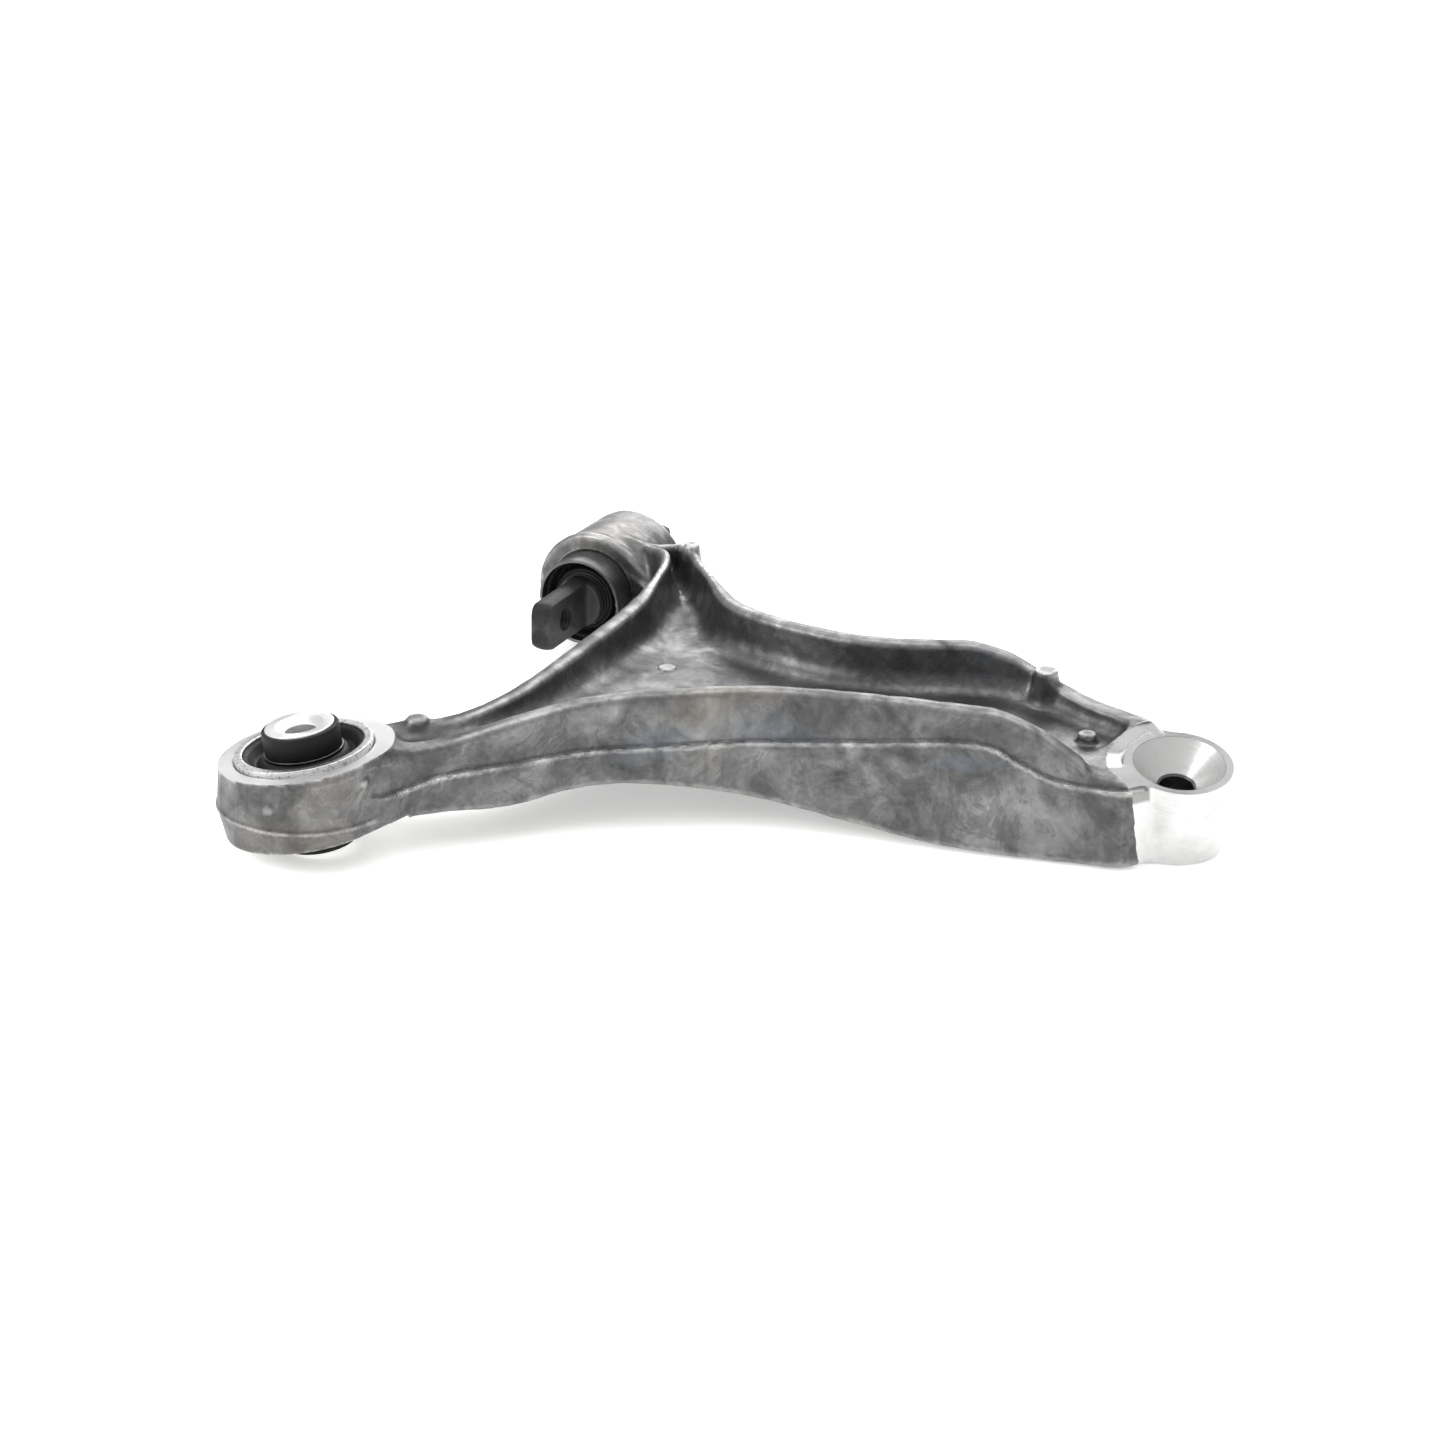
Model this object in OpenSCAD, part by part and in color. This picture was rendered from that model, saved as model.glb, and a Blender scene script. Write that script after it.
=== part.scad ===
// Front lower control arm of a passenger car, lying at rest on a level surface.
// The arm is an aluminium casting with three eyes: the rear eye holds a bush whose
// axis stands nearly upright, the front eye holds a bush with a steel bar pin that
// lies flat, and the ball eye takes a ball joint's stud through a wide funnel.
// Origin: the centre of the rear eye. +X runs along the arm to the ball eye, +Y to
// the front eye's side, +Z up. The arm swings about the line through the two bushes.

/* [Layout] */
// Distance from the rear eye to the ball eye, along X
ball_x = 397; // [380:1:477]
// Offset of the ball eye, along Y
ball_y = 13.3; // [5:0.1:20]
// Distance from the rear eye to the front eye, along the swing axis
front_dist = 309; // [257:1:320]
// Direction of the swing axis, seen from above
swing_angle = 65; // [63:0.5:67]
// Rise of the swing axis from the rear eye to the front eye, in degrees
swing_rise = 1; // [0:0.1:1.5]

/* [Rear eye and bush] */
// Outer diameter of the rear eye
rear_eye_d = 78; // [74:0.5:90]
// Height of the rear eye's machined face over the bush's centre
rear_face_up = 19; // [17:0.5:22]
// Depth of the rear eye's lower face below the bush's centre
rear_face_down = 15.5; // [14:0.5:20]
// Swell of the rear eye's side at the parting line
rear_belly = 1.5; // [0:0.1:2.5]
// Lean of the rear eye's axis, towards -X
rear_lean = 8.8; // [5:0.1:10]
// Lean of the rear eye's axis, towards +Y
rear_pitch = 0.3; // [0:0.1:2]
// Outer diameter of the rear bush's sleeve, pressed into the eye
rear_sleeve_d = 64; // [53:0.5:66]
// Wall of the rear bush's sleeve
rear_sleeve_wall = 4; // [2.5:0.1:5]
// Rise of the sleeve's rim above the eye's machined face
rear_sleeve_rise = 2.7; // [1:0.1:4]
// Diameter of the rear bush's aluminium core
rear_core_d = 32; // [28:0.5:35]
// Bolt hole through the rear bush's core
rear_bolt_d = 14.2; // [12:0.1:17]
// Rise of the core above the eye's machined face
rear_core_rise = 13; // [9:0.5:17]
// Drop of the core below the eye
rear_core_drop = 10.2; // [8:0.1:12]

/* [Front eye and bush] */
// Outer diameter of the front eye's boss, at its open face
front_boss_d = 64; // [60:0.5:68]
// Outer diameter of the boss at its far face
front_boss_far_d = 60; // [57:0.5:66]
// Distance from the front eye's centre to the boss's open face
front_boss_near = 26; // [22:1:30]
// Distance from the front eye's centre to the boss's far face
front_boss_far = 22; // [20:1:23]
// Outer diameter of the front bush's sleeve, pressed into the boss
front_sleeve_d = 46; // [42:0.5:52]
// Wall of the front bush's sleeve
front_sleeve_wall = 1.8; // [1.2:0.1:2.5]
// Distance from the front eye's centre to the sleeve's near end
front_sleeve_near = 42; // [34:1:46]
// Distance from the front eye's centre to the sleeve's far end
front_sleeve_far = 24; // [24:1:30]
// Outer diameter of the tube pressed on the bar pin
front_tube_d = 30; // [28.5:0.5:34]
// Diameter of the bar pin
pin_d = 25.6; // [21:0.1:28]
// Length of the bar pin from the bush's middle to its long tab's end
pin_long = 85; // [74:1:96]
// Length of the bar pin from the bush's middle to its short tab's end
pin_short = 57; // [56:1:72]
// Thickness of the tabs at the bar pin's ends
tab_t = 10; // [8:0.5:13]
// Distance from each threaded hole to its tab's end
hole_inset = 19; // [14:0.5:21]
// Tapping diameter of the threaded holes, for M12
hole_d = 10.2; // [8.5:0.1:12.5]

/* [Ball eye] */
// Height of the ball eye's upper face over the rear eye's centre
ball_z = 16.6; // [14:0.1:18]
// Outer diameter of the ball eye
ball_eye_d = 50; // [46:0.5:60]
// Height of the ball eye
ball_eye_h = 40; // [34:0.5:41]
// Lean of the ball eye's axis, towards -Y
ball_lean = 12.5; // [6:0.5:14]
// Lean of the ball eye's axis, towards +X
ball_pitch = 1; // [0:0.1:5]
// Widest diameter of the funnel
funnel_d = 42.6; // [36:0.2:44]
// Depth of the funnel
funnel_depth = 13.3; // [11:0.1:24]
// Stud hole below the funnel
stud_d = 16; // [14:0.1:18]
// Radius of the machined face round the funnel
spotface_r = 33.6; // [28:0.2:36]

/* [Beam] */
// Width of the raised rims round the web
rim_w = 12; // [7:0.5:13]
// Thickness of the web between the rims
web_t = 7; // [5:0.5:10]
// Width of the proud ledge along the parting line
ledge_w = 1.2; // [0.6:0.1:2]
// Thickness of the ribs under the web
rib_t = 5; // [4:0.5:7]
// Diameter of the tall locating peg by the ball eye
peg_d = 11; // [8:0.5:13]
// Diameter of the low round pads
pad_d = 9; // [7:0.5:11]

/* [Hidden] */
$fn = 96;
eps = 0.5;
fit_gap = 0.04;
ball_length_ratio = ball_x / 397;
front_length_ratio = front_dist / 309;
rear_core_top = rear_face_up + rear_core_rise;
rear_core_low = -rear_face_down - rear_core_drop;
rear_chamfer = 3;
rear_draft = 4;
rear_parting_z = -5;
rear_sleeve_ri = rear_sleeve_d / 2 - rear_sleeve_wall;
rear_coat = 1.8;
rear_lower_coat = 1;
rear_buffer_foot = rear_face_up + 1.5;
rear_collar_t = 1.2;
rear_turned_h = 5;
rear_rubber_low = 11.5 - rear_face_down;
front_sleeve_ri = front_sleeve_d / 2 - front_sleeve_wall;
front_recess = 4;
front_rubber_recess = 5;
front_rubber_groove = 6;
flat_gap = 1;
cut_h = 40;
eye_gap = 2;
rib_x = [110, 165, 225, 285];
rib_lean = 35;
rib_lean_end = 140;

// ---- frames of the three eyes ----

module at_rear_eye() {
    rotate([-rear_pitch, -rear_lean, 0]) children();
}

module at_front_eye() {
    rotate([0, 90 - swing_rise, swing_angle]) translate([0, 0, front_dist]) children();
}

module at_ball_eye() {
    translate([ball_x, ball_y, ball_z]) rotate([ball_lean, ball_pitch, 0]) children();
}

// A tube with its axis along Z, from z0 to z1
module tube(r_out, r_in, z0, z1) {
    translate([0, 0, z0]) difference() {
        cylinder(r = r_out, h = z1 - z0);
        translate([0, 0, -eps]) cylinder(r = r_in, h = z1 - z0 + 2 * eps);
    }
}

// ---- outlines ----

// One step of a Catmull-Rom curve through b and c
function spline_at(a, b, c, d, t) =
    b + (c - a) * t / 2 + (2 * a - 5 * b + 4 * c - d) * t * t / 2
      + (3 * b - a - 3 * c + d) * t * t * t / 2;

// An open smooth curve through the points p, with n steps between two points
function smooth(p, n) = concat(
    [for (i = [0 : len(p) - 2], k = [0 : n - 1])
        spline_at(p[max(i - 1, 0)], p[i], p[i + 1], p[min(i + 2, len(p) - 1)], k / n)],
    [p[len(p) - 1]]);

// The curve q moved by w to its left
function left_of(q, w) = [for (i = [0 : len(q) - 1])
    let (d = q[min(i + 1, len(q) - 1)] - q[max(i - 1, 0)])
    q[i] + w * [-d.y, d.x] / norm(d)];

// Points along the beam scale with the distance to the ball eye
function along(x, y) = [x * ball_length_ratio, y];
// Points by the front eye scale with the distance to the front eye
function by_front(x, y) = [x, y] * front_length_ratio;

// Near edge, from the rear eye to the ball eye
near_edge = smooth([along(14, -22), along(36, -13), along(58, 1), along(90, 11),
    along(124, 24), along(163, 28), along(203, 31), along(250, 22), along(303, 6),
    along(348, -5), along(370, -9.5), along(384, -2)], 4);
// Far edge, from the ball eye to the front eye
far_edge = smooth([along(396, 37), along(385, 53), along(368, 71), along(353, 89),
    along(338, 102), along(315, 105), along(275, 106), along(240, 118),
    by_front(201, 152), by_front(183, 203), by_front(175, 235), by_front(169, 262)], 4);
// Edge between the front eye and the rear eye
side_edge = smooth([by_front(138, 262), by_front(151, 238), by_front(152, 210),
    by_front(137, 157), by_front(108, 97), by_front(83, 57), by_front(54, 41),
    by_front(18, 37)], 4);

// Height of the rims' tops and of the arm's lower edge along X
rim_top = smooth([along(0, 21), along(36, 22), along(58, 21.5), along(90, 29), along(125, 35),
    along(163, 38.5), along(230, 40.5), along(300, 42), along(314, 41), along(332, 34.5),
    along(349, 23.5), along(364, 16), along(430, 17)], 4);
lower_edge = smooth([along(0, -14), along(32, -10), along(58, -11.5), along(91, -11.5),
    along(125, -6.5), along(160, -6.5), along(205, -13.5), along(250, -21.5),
    along(303, -26.8), along(430, -26.5)], 4);
// Height of the parting line along X
parting = smooth([along(0, -5), along(30, 0), along(58, 6.5), along(119, 11),
    along(203, 15), along(250, 19.5), along(303, 26.5), along(326, 18), along(350, 11.5),
    along(430, 11.5)], 4);
// Height of the web's upper face along X
web_top = smooth([along(0, 15), along(58, 16.8), along(120, 17.5), along(200, 17.5),
    along(300, 19), along(350, 15), along(430, 16)], 4);

low_z = -80;
high_z = 80;
far_y = 400;
far_x = 600;

// The space under a height curve, across the whole arm
module below(curve) {
    profile = concat(curve, [[curve[len(curve) - 1].x, low_z], [curve[0].x, low_z]]);
    translate([0, far_y, 0]) rotate([90, 0, 0]) linear_extrude(2 * far_y) polygon(profile);
}

// The space over a height curve, across the whole arm
module above(curve) {
    profile = concat(curve, [[curve[len(curve) - 1].x, high_z], [curve[0].x, high_z]]);
    translate([0, far_y, 0]) rotate([90, 0, 0]) linear_extrude(2 * far_y) polygon(profile);
}

// The arm's outline, moved outwards by w
module outline_prism(w) {
    translate([0, 0, low_z]) linear_extrude(high_z - low_z)
        polygon(concat(left_of(near_edge, -w), left_of(far_edge, -w), left_of(side_edge, -w)));
}

// The space between the rims: inside each of the three edges by w
module between_rims(w) {
    near = left_of(near_edge, w);
    far = left_of(far_edge, w);
    side = left_of(side_edge, w);
    translate([0, 0, low_z]) intersection() {
        linear_extrude(high_z - low_z)
            polygon(concat(near, [[near[len(near) - 1].x, far_y], [near[0].x, far_y]]));
        linear_extrude(high_z - low_z)
            polygon(concat(far, [[-far_x, far[len(far) - 1].y], [-far_x, -far_y],
                [far[0].x, -far_y]]));
        linear_extrude(high_z - low_z)
            polygon(concat(side, [[side[len(side) - 1].x, -far_y], [far_x, -far_y],
                [far_x, side[0].y]]));
    }
}

// ---- the casting ----

module beam() {
    difference() {
        intersection() {
            outline_prism(0);
            below(rim_top);
            above(lower_edge);
        }
        upper_pocket();
        lower_pocket();
    }
    intersection() {
        outline_prism(ledge_w);
        below(parting);
        above(lower_edge);
        difference() {
            outline_prism(ledge_w);
            between_rims(rim_w - 1);
        }
    }
}

// The metal that the pockets leave round the three eyes
module eye_stock() {
    at_rear_eye() cylinder(d = rear_eye_d + 2 * eye_gap, h = 5 * cut_h, center = true);
    at_front_eye() translate([0, 0, -front_boss_near - eye_gap])
        cylinder(d = front_boss_d + 2 * eye_gap,
            h = front_boss_near + front_boss_far + 2 * eye_gap);
    at_ball_eye() cylinder(r = spotface_r + eye_gap, h = 5 * cut_h, center = true);
}

module upper_pocket() {
    difference() {
        intersection() {
            between_rims(rim_w);
            above(web_top);
        }
        eye_stock();
    }
}

module lower_pocket() {
    lowered = [for (p = web_top) p - [0, web_t]];
    difference() {
        intersection() {
            between_rims(rim_w);
            below(lowered);
        }
        eye_stock();
        ribs();
    }
}

// Ribs that tie the rims together under the web
module ribs() {
    for (x = rib_x)
        translate([x * ball_length_ratio, far_y / 2 - 50, 0])
            rotate([0, 0, x < rib_lean_end ? -rib_lean : 0])
            cube([rib_t, far_y, 2 * high_z], center = true);
}

// Ejector pads and locating pegs, round, standing on the casting
module nub(x, y, z, d, h) {
    translate([x, y, z]) cylinder(d = d, h = h, center = true);
}

module nubs() {
    nub(341 * ball_length_ratio, 84, 25, peg_d, 18);
    nub(357 * ball_length_ratio, 40, 17, pad_d, 6);
    nub(46, 32, 21, peg_d, 6);
    nub(171 * front_length_ratio, 232 * front_length_ratio, 38, pad_d, 8);
}

// Rear eye: it stands upright, widest at the parting line, and its bore leans. A
// turned collar under the machined face follows the bore.
module rear_eye_body() {
    r_top = rear_eye_d / 2;
    reach = rear_face_up + 6;
    translate([-rear_face_up * sin(rear_lean), 0, 0]) rotate_extrude()
        polygon([[0, -reach], [r_top - rear_draft, -reach], [r_top + rear_belly, rear_parting_z],
            [r_top - 0.5, reach], [0, reach]]);
    at_rear_eye() translate([0, 0, rear_face_up - rear_turned_h])
        cylinder(d = rear_eye_d, h = rear_turned_h);
}

module rear_eye_cuts() {
    cylinder(d = rear_sleeve_d, h = 5 * cut_h, center = true);
    translate([0, 0, rear_face_up]) cylinder(d = rear_eye_d + 6, h = cut_h);
    translate([0, 0, -rear_face_down - cut_h]) cylinder(d = rear_eye_d + 9, h = cut_h);
}

module front_eye_cuts() {
    cylinder(d = front_sleeve_d, h = 5 * cut_h, center = true);
    translate([0, 0, -front_boss_near - cut_h]) cylinder(d = front_boss_d + 6, h = cut_h);
    translate([0, 0, front_boss_far]) cylinder(d = front_boss_d + 6, h = cut_h);
}

module ball_eye_cuts() {
    cylinder(r = spotface_r, h = cut_h);
    translate([0, 0, -ball_eye_h - 1]) cylinder(d = stud_d, h = ball_eye_h + 2);
    translate([0, 0, -funnel_depth]) cylinder(d1 = stud_d, d2 = funnel_d, h = funnel_depth);
    translate([0, 0, -ball_eye_h - cut_h]) cylinder(r = 1.6 * spotface_r, h = cut_h);
}

module arm_casting() {
    color([0.52, 0.52, 0.53]) difference() {
        union() {
            beam();
            rear_eye_body();
            at_front_eye() translate([0, 0, -front_boss_near])
                cylinder(d1 = front_boss_d, d2 = front_boss_far_d,
                    h = front_boss_near + front_boss_far);
            at_ball_eye() translate([0, 0, -ball_eye_h])
                cylinder(d = ball_eye_d, h = ball_eye_h);
            nubs();
        }
        at_rear_eye() rear_eye_cuts();
        at_front_eye() front_eye_cuts();
        at_ball_eye() ball_eye_cuts();
    }
}

// ---- rear bush ----

module rear_bush_sleeve() {
    color([0.75, 0.75, 0.76]) at_rear_eye()
        tube(rear_sleeve_d / 2, rear_sleeve_ri, 0.5 - rear_face_down,
            rear_face_up + rear_sleeve_rise);
}

// Rubber body: bonded to the sleeve, thinner between, with a deep groove above and below
module rear_bush_rubber() {
    up = rear_face_up;
    low = -rear_face_down;
    r_in = rear_core_d / 2 + fit_gap;
    r_out = rear_sleeve_ri;
    mid = (r_in + r_out) / 2;
    color([0.08, 0.08, 0.08]) at_rear_eye() rotate_extrude()
        polygon([[r_in, rear_rubber_low], [r_in + 4, rear_rubber_low], [mid, rear_rubber_low + 2.5],
                 [r_out - 3, low + 4], [r_out, low + 3], [r_out, up + 1.5],
                 [r_out - 2, up + 1], [mid, up - 4], [r_in + 3.5, up],
                 [r_in, up]]);
}

module rear_bush_core() {
    color([0.82, 0.82, 0.83]) at_rear_eye() difference() {
        tube(rear_core_d / 2, rear_bolt_d / 2, rear_core_low, rear_core_top);
        translate([0, 0, rear_core_top - rear_chamfer])
            cylinder(d1 = rear_bolt_d, d2 = rear_bolt_d + 8, h = rear_chamfer + eps / 4);
    }
}

// Steel ring round the core, at the foot of the upper buffer
module rear_bush_collar() {
    color([0.6, 0.6, 0.6]) at_rear_eye()
        tube(rear_core_d / 2 + rear_coat + 1, rear_core_d / 2,
            rear_buffer_foot - rear_collar_t, rear_buffer_foot);
}

module rear_bush_upper_buffer() {
    color([0.1, 0.1, 0.1]) at_rear_eye()
        tube(rear_core_d / 2 + rear_coat, rear_core_d / 2, rear_buffer_foot,
            rear_core_top - rear_coat / 2);
}

module rear_bush_lower_buffer() {
    color([0.1, 0.1, 0.1]) at_rear_eye()
        tube(rear_core_d / 2 + rear_lower_coat, rear_core_d / 2, rear_core_low,
            rear_rubber_low - 2.5);
}

// ---- front bush ----

module front_bush_sleeve() {
    color([0.35, 0.35, 0.36]) at_front_eye()
        tube(front_sleeve_d / 2, front_sleeve_ri, -front_sleeve_near, front_sleeve_far);
}

module front_bush_rubber() {
    near = -front_sleeve_near + front_rubber_recess;
    far = front_sleeve_far - front_rubber_recess;
    r_in = front_tube_d / 2 + fit_gap;
    r_out = front_sleeve_ri;
    mid = (r_in + r_out) / 2;
    color([0.08, 0.08, 0.08]) at_front_eye() rotate_extrude()
        polygon([[r_in, near + 1], [mid, near + front_rubber_groove], [r_out, near],
                 [r_out, far], [mid, far - front_rubber_groove], [r_in, far - 1]]);
}

module front_bush_inner_tube() {
    color([0.3, 0.3, 0.3]) at_front_eye()
        tube(front_tube_d / 2, pin_d / 2, -front_sleeve_near + front_recess,
            front_sleeve_far - front_recess);
}

// The two flats and the threaded hole of one tab. The flats start just outside the
// bush's sleeve, at a distance of start from the eye's centre.
module tab_cut(end, reach, start) {
    flat_l = reach - start;
    for (side = [-1, 1])
        translate([0, side * (tab_t / 2 + pin_d / 2), end * (reach - (flat_l - eps) / 2)])
            cube([pin_d + 2, pin_d, flat_l + eps], center = true);
    translate([0, 0, end * (reach - hole_inset)]) rotate([90, 0, 0])
        cylinder(d = hole_d, h = tab_t + 2, center = true);
}

module front_bar_pin() {
    color([0.22, 0.22, 0.23]) at_front_eye() difference() {
        translate([0, 0, -pin_long]) cylinder(d = pin_d, h = pin_long + pin_short);
        tab_cut(-1, pin_long, front_sleeve_near + flat_gap);
        tab_cut(1, pin_short, front_sleeve_far + flat_gap);
    }
}

arm_casting();
rear_bush_sleeve();
rear_bush_rubber();
rear_bush_core();
rear_bush_collar();
rear_bush_upper_buffer();
rear_bush_lower_buffer();
front_bush_sleeve();
front_bush_rubber();
front_bush_inner_tube();
front_bar_pin();
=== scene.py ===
import math

import bmesh
import bpy
import numpy as np
from mathutils import Matrix, Quaternion, Vector


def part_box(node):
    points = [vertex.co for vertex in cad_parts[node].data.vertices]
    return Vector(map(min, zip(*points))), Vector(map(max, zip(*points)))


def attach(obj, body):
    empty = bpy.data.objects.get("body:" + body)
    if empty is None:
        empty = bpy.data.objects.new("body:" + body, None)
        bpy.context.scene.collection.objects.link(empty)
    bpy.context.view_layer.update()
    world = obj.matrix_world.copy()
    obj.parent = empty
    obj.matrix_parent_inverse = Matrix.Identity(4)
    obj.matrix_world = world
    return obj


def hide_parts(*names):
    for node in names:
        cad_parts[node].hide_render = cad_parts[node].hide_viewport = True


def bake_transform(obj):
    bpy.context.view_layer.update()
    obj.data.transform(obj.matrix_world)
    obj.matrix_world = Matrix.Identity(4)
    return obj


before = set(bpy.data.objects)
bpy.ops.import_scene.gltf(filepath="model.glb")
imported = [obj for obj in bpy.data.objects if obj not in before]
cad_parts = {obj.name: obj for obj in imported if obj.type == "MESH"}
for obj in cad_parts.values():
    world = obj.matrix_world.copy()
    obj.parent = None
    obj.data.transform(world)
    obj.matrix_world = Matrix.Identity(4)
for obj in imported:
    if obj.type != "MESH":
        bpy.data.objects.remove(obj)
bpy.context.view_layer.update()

MM = 0.001
rad = math.radians

# ---------------------------------------------------------------- sizes, in mm
BALL = (397.0, 13.3, 16.6)
BALL_EYE_R, BALL_EYE_H, SPOTFACE_R = 25.0, 40.0, 33.6
FUNNEL_R, FUNNEL_DEPTH, STUD_R = 21.3, 13.3, 8.0
FRONT_DIST, SWING_ANGLE, SWING_RISE = 309.0, 65.0, 1.0
BOSS_R, BOSS_NEAR, BOSS_FAR = 32.0, 26.0, 22.0
F_SLEEVE_R, F_SLEEVE_WALL, F_SLEEVE_NEAR, F_SLEEVE_FAR = 23.0, 1.8, 42.0, 24.0
F_TUBE_R, F_TUBE_NEAR, F_TUBE_FAR, PIN_R = 15.0, 38.0, 20.0, 12.8
PIN_LONG, PIN_SHORT, TAB_T, HOLE_INSET, HOLE_R = 85.0, 57.0, 10.0, 19.0, 5.1
REAR_LEAN, REAR_PITCH = 8.8, 0.3
FACE_UP, FACE_DOWN = 19.0, 15.5
EYE_R, R_SLEEVE_R, R_SLEEVE_WALL, R_SLEEVE_RISE = 39.0, 32.0, 4.0, 2.7
CORE_R, BOLT_R, CORE_TOP, CORE_LOW = 16.0, 7.1, 32.0, -25.7
COAT, LOWER_COAT = 1.8, 1.0
RIM_W, WEB_T, RIB_T = 12.0, 7.0, 5.0
BUFFER_FOOT = FACE_UP + 1.5
RUBBER_IN = 5.0
CAST_MARKS = ((160.2, 117.3), (169.5, 214.5))
GRID = 1.25

# the frames of the three eyes, as the CAD sets them
REAR = Matrix.Rotation(rad(-REAR_LEAN), 4, "Y") @ Matrix.Rotation(rad(-REAR_PITCH), 4, "X")
FRONT = (Matrix.Rotation(rad(SWING_ANGLE), 4, "Z") @ Matrix.Rotation(rad(90 - SWING_RISE), 4, "Y")
         @ Matrix.Translation((0, 0, FRONT_DIST)))
BALL_M = (Matrix.Translation(BALL) @ Matrix.Rotation(rad(1.0), 4, "Y")
          @ Matrix.Rotation(rad(12.5), 4, "X"))


def smooth(p, n=4):
    """A Catmull-Rom curve through the points p."""
    p = np.array(p, float)
    out = []
    for i in range(len(p) - 1):
        a, b, c, d = p[max(i - 1, 0)], p[i], p[i + 1], p[min(i + 2, len(p) - 1)]
        for k in range(n):
            t = k / n
            out.append(b + (c - a) * t / 2 + (2 * a - 5 * b + 4 * c - d) * t * t / 2
                       + (3 * b - a - 3 * c + d) * t ** 3 / 2)
    return np.array(out + [p[-1]])


NEAR = smooth([(14, -22), (36, -13), (58, 1), (90, 11), (124, 24), (163, 28), (203, 31),
               (250, 22), (303, 6), (348, -5), (370, -9.5), (384, -2)], 6)
FAR = smooth([(396, 37), (385, 53), (368, 71), (353, 89), (338, 102), (315, 105), (275, 106),
              (240, 118), (201, 152), (183, 203), (175, 235), (169, 262)], 6)
SIDE = smooth([(138, 262), (151, 238), (152, 210), (137, 157), (108, 97), (83, 57), (54, 41),
               (18, 37)], 6)
OUTLINE = np.concatenate([NEAR, FAR, SIDE])
RIM_TOP = smooth([(0, 21), (36, 22), (58, 21.5), (90, 29), (125, 35), (163, 38.5), (230, 40.5),
                  (300, 42), (314, 41), (332, 34.5), (349, 23.5), (364, 16), (430, 17)], 6)
LOWER = smooth([(0, -14), (32, -10), (58, -11.5), (91, -11.5), (125, -6.5), (160, -6.5),
                (205, -13.5), (250, -21.5), (303, -26.8), (430, -26.5)], 6)
PARTING = smooth([(0, -5), (30, 0), (58, 6.5), (119, 11), (203, 15), (250, 19.5), (303, 26.5),
                  (326, 18), (350, 11.5), (430, 11.5)], 6)
FAR_TOP = smooth([(280, 42), (300, 42), (322, 37.5), (340, 29), (358, 25), (385, 25), (430, 28)], 6)
WEB_TOP = smooth([(0, 15), (58, 16.8), (120, 17.5), (200, 17.5), (300, 19), (350, 15),
                  (430, 16)], 6)


# ---------------------------------------------------------------- distance model
def height(curve, x):
    return np.interp(x, curve[:, 0], curve[:, 1])


def smax(a, b, k):
    """The larger of a and b, rounded over where they meet."""
    h = np.maximum(k - np.abs(a - b), 0) / k
    return np.maximum(a, b) + h * h * k / 4


def ease(t):
    """Rises smoothly from 0 to 1 as t does."""
    t = np.clip(t, 0, 1)
    return t * t * (3 - 2 * t)


def smin(a, b, k):
    return -smax(-a, -b, k)


def outline_distance(x, y):
    """Distance to the arm's outline seen from above, below zero inside it."""
    shape = x.shape
    x, y = x.ravel(), y.ravel()
    best = np.full(x.shape, 1e9)
    inside = np.zeros(x.shape, bool)
    q = np.roll(OUTLINE, -1, axis=0)
    for (ax, ay), (bx, by) in zip(OUTLINE, q):
        dx, dy = bx - ax, by - ay
        t = np.clip(((x - ax) * dx + (y - ay) * dy) / (dx * dx + dy * dy), 0, 1)
        best = np.minimum(best, (x - ax - t * dx) ** 2 + (y - ay - t * dy) ** 2)
        if dy != 0:
            inside ^= ((ay > y) != (by > y)) & (x < ax + dx * (y - ay) / dy)
    d = np.sqrt(best)
    return np.where(inside, -d, d).reshape(shape)


def local(matrix, x, y, z):
    """Coordinates in an eye's own frame, as radius from its axis and height along it."""
    m = np.array(matrix.inverted())
    u = m[0, 0] * x + m[0, 1] * y + m[0, 2] * z + m[0, 3]
    v = m[1, 0] * x + m[1, 1] * y + m[1, 2] * z + m[1, 3]
    w = m[2, 0] * x + m[2, 1] * y + m[2, 2] * z + m[2, 3]
    return np.sqrt(u * u + v * v), w


def undulation(x, y, z):
    """The gentle unevenness of a casting's skin, in mm."""
    return (0.10 * np.sin(x * 0.21 + 1.3 * np.sin(y * 0.11)) * np.sin(y * 0.17 + 0.7)
            + 0.06 * np.sin(x * 0.43 + z * 0.29 + 2.0) * np.sin(y * 0.37 - z * 0.21)
            + 0.03 * np.sin(x * 0.9 + y * 0.7) * np.sin(z * 0.8 + y * 0.6))


def round_nub(x, y, z, cx, cy, z_top, r_top, slope, k, deep):
    rho = np.sqrt((x - cx) ** 2 + (y - cy) ** 2)
    nub = smax(rho - (r_top + slope * (z_top - z)), z - z_top, k)
    return np.maximum(nub, z_top - deep - z)


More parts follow.
